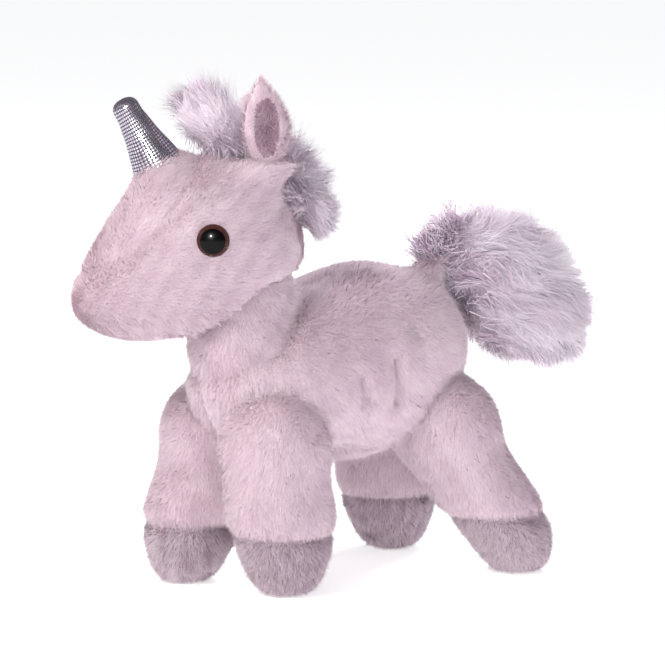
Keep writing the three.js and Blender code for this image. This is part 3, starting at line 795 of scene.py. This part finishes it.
# density per mm2; length, width, tuft size and how deep it starts (inner) and is tucked in, in
# mm; how far strands stray, singly and together (wild), and gather towards the tuft's middle
LONG_PILE = dict(density=7, length=16, width=0.24, inner=4, tuft=3, wild=0.45, stray=0.24,
                 gather=0.6, tuck=1)
POLL = (JOINTS["ear_left_fold"] + JOINTS["ear_right_fold"]) / 2
FORELOCK_FOCUS = POLL + (9 * FACING - 6 * UP) * MM
MANE_FOCUS = POLL - 20 * MM * UP
tufts("forelock", ["forelock"], lambda p, n: unit(p - FORELOCK_FOCUS) + n * 0.25 + FACING * 0.3,
      LONG_PILE, "head", 70)
tufts("mane", ["mane"], lambda p, n: unit(p - MANE_FOCUS) + n * 0.25 - UP * 0.6,
      dict(LONG_PILE, length=19), HEAD_BEND, 71)
tail_root = JOINTS["tail_wag"]
TAIL_BEND = ("torso", "tail", tail_root, tail_root + np.array([12, 0, 0]) * MM)
tufts("tail", ["tail_brush", "tail_core"],
      lambda p, n: n * 0.3 + unit(p - tail_root - np.array([-10, 0, 10]) * MM),
      dict(LONG_PILE, density=4.6, length=22, width=0.3, inner=6, tuft=5, wild=0.34,
           gather=0.75),
      TAIL_BEND, 72)

# ---------------------------------------------------------------- build: horn and eyes


def horn_frame():
    """Where the horn stands, its axis and its length, from its own CAD node."""
    base = JOINTS["horn_bend"]
    points, _ = gather(["horn_cover"])
    reach = np.linalg.norm(points - base, axis=1)
    far = points[reach > reach.max() - 0.8 * MM].mean(axis=0)
    return base, unit(far - base), reach.max()


ROUND_SHARE = 0.7  # the pattern's stretch round a turned skin, for one narrower than its foot
POLE = 1e-3  # radians that a turned skin stops short of its pole


def lathe(name, outline, around, base, axis, materials, shift=None):
    """A turned skin: outline is (radius, height) pairs from the bottom to the tip. The UV map
    runs round it and up it, in millimetres."""
    x_axis = unit(np.cross(axis, SIDEWAYS))
    y_axis = np.cross(axis, x_axis)
    angle = np.linspace(0, 2 * math.pi, around + 1)
    ring = np.cos(angle)[:, None] * x_axis + np.sin(angle)[:, None] * y_axis
    radius, height = np.array(outline).T
    points = (radius[:, None, None] * ring[None] + height[:, None, None] * axis).reshape(-1, 3)
    if shift is not None:
        points = points + shift(points)
    rows = len(outline)
    row, column = np.meshgrid(np.arange(rows - 1), np.arange(around), indexing="ij")
    k = (row * (around + 1) + column).ravel()
    faces = np.concatenate([np.stack([k, k + 1, k + around + 2], axis=1),
                            np.stack([k, k + around + 2, k + around + 1], axis=1)])
    made = mesh_object(name, points + base, faces, materials)
    up = np.concatenate([[0], np.cumsum(np.hypot(np.diff(radius), np.diff(height)))])
    flat = np.stack([np.tile(angle, rows) * radius.max() * ROUND_SHARE,
                     np.repeat(up, around + 1)], axis=1)
    layer = made.data.uv_layers.new(name="round")
    layer.data.foreach_set("uv", (flat[faces.ravel()] / MM).astype(np.float32).ravel())
    return made


def foil_material():
    """Foil dots printed in a fine square grid on mauve cloth, crumpled a little."""
    made = material("foil_cloth", tone(190, 180, 200), 0.3, Sheen_Weight=0.1)
    tree = made.node_tree
    shader = tree.nodes["Principled BSDF"]
    place = node(tree, "ShaderNodeUVMap", uv_map="round").outputs["UV"]
    dots = node(tree, "ShaderNodeTexVoronoi", {"Vector": place, "Scale": 0.82, "Randomness": 0.06},
                voronoi_dimensions="2D")
    inside = node(tree, "ShaderNodeMapRange", {"Value": dots.outputs["Distance"],
                                              "From Min": 0.3, "From Max": 0.42,
                                              "To Min": 1.0, "To Max": 0.0}).outputs["Result"]
    worn = node(tree, "ShaderNodeTexNoise", {"Vector": place, "Scale": 0.35, "Detail": 3.0})
    foil = blend_colours(tree, worn.outputs["Fac"], tone(150, 144, 156), tone(212, 208, 218))
    colour = blend_colours(tree, inside, tone(50, 36, 58), foil)
    tree.links.new(colour, shader.inputs["Base Color"])
    tree.links.new(inside, shader.inputs["Metallic"])
    rough = node(tree, "ShaderNodeMapRange", {"Value": inside, "To Min": 0.8, "To Max": 0.24})
    tree.links.new(rough.outputs["Result"], shader.inputs["Roughness"])
    crumple = node(tree, "ShaderNodeTexNoise", {"Vector": place, "Scale": 0.5, "Detail": 2.0})
    raised = node(tree, "ShaderNodeMath", {0: crumple.outputs["Fac"], 1: inside, 2: 0.0},
                  operation="MULTIPLY_ADD")
    relief = node(tree, "ShaderNodeBump", {"Height": raised.outputs[0], "Strength": 0.2,
                                          "Distance": 0.6 * MM})
    tree.links.new(relief.outputs["Normal"], shader.inputs["Normal"])
    return made


horn_base, horn_axis, horn_length = horn_frame()
TIP_RADIUS = 3.6
HORN_SHAPE = [(10.2, -2.5), (10.0, 0), (9.2, 3), (8.3, 7), (7.4, 11), (6.5, 15), (5.7, 19),
              (5.0, 22)]  # radius and height, in mm
radii, heights = zip(*HORN_SHAPE)
tip_start = horn_length / MM - TIP_RADIUS
outline = [(np.interp(h, heights, radii), h) for h in np.linspace(heights[0], tip_start, 40)]
last = outline[-1][0]
outline += [(last * math.cos(a) ** 0.8, tip_start + TIP_RADIUS * math.sin(a))
            for a in np.linspace(0.1, math.pi / 2 - POLE, 14)]
horn = lathe("horn_cloth", np.array(outline) * MM, 96, horn_base, horn_axis, [foil_material()],
             lambda p: swirl(p, 5 * MM, 80) * 0.28 * MM + swirl(p, 1.8 * MM, 81) * 0.1 * MM)
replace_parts(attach(horn, "horn"), "horn_cover", "horn_stuffing")


def eye_material():
    """Clear brown plastic over a dark ring, black where the pupil is."""
    made = material("eye_plastic", tone(60, 34, 28), 0.3, Specular_IOR_Level=0.05,
                    Coat_Weight=0.12, Coat_Roughness=0.03)
    tree = made.node_tree
    shader = tree.nodes["Principled BSDF"]
    place = node(tree, "ShaderNodeUVMap", uv_map="round").outputs["UV"]
    up = node(tree, "ShaderNodeSeparateXYZ", {"Vector": place}).outputs["Y"]
    pupil = node(tree, "ShaderNodeMapRange", {"Value": up, "From Min": 4.35, "From Max": 4.6})
    grain = node(tree, "ShaderNodeTexNoise", {"Vector": place, "Scale": 0.8})
    ring = blend_colours(tree, grain.outputs["Fac"], tone(52, 28, 26), tone(84, 50, 44))
    tree.links.new(blend_colours(tree, pupil.outputs["Result"], ring, tone(8, 6, 7)),
                   shader.inputs["Base Color"])
    return made


EYE_PLASTIC = eye_material()
EYE_RADIUS, EYE_HEIGHT, EYE_SUNK = 6, 4, 1.6  # of the dome, in mm
for i, side in enumerate(("left", "right")):
    dome, post = f"eye_{side}_dome", f"eye_{side}_pupil_post"
    middle = {n: np.array(sum(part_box(n), Vector())) / 2 for n in (dome, post)}
    outward = unit(middle[dome] - middle[post])
    seat = middle[dome] - outward * EYE_SUNK * MM
    outline = [(0.9 * EYE_RADIUS, -1.2), (EYE_RADIUS, -0.8)]
    outline += [(EYE_RADIUS * math.cos(a), EYE_HEIGHT * math.sin(a))
                for a in np.linspace(0, math.pi / 2 - POLE, 16)]
    eye = lathe(f"eye_{side}", np.array(outline) * MM, 48, seat, outward, [EYE_PLASTIC])
    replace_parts(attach(eye, "head"), dome)

# ---------------------------------------------------------------- the CAD nodes that stay

PELLET_CLOTH = cloth_material("pellet_cloth", tone(214, 212, 204), tone(240, 238, 232), 1.2, 20)
POST_PLASTIC = cloth_material("post_plastic", tone(12, 10, 10), tone(24, 21, 21), 0.3, 6, 0.1,
                              0.3, 0)
WASHER_PLASTIC = cloth_material("washer_plastic", tone(216, 216, 210), tone(236, 236, 230), 0.4,
                                8, 0.1, 0.5, 0)
for name, obj in frame["nodes"].items():
    for part, made in (("pellet", PELLET_CLOTH), ("post", POST_PLASTIC),
                       ("washer", WASHER_PLASTIC)):
        if part in name:
            obj.data.materials.clear()
            obj.data.materials.append(made)
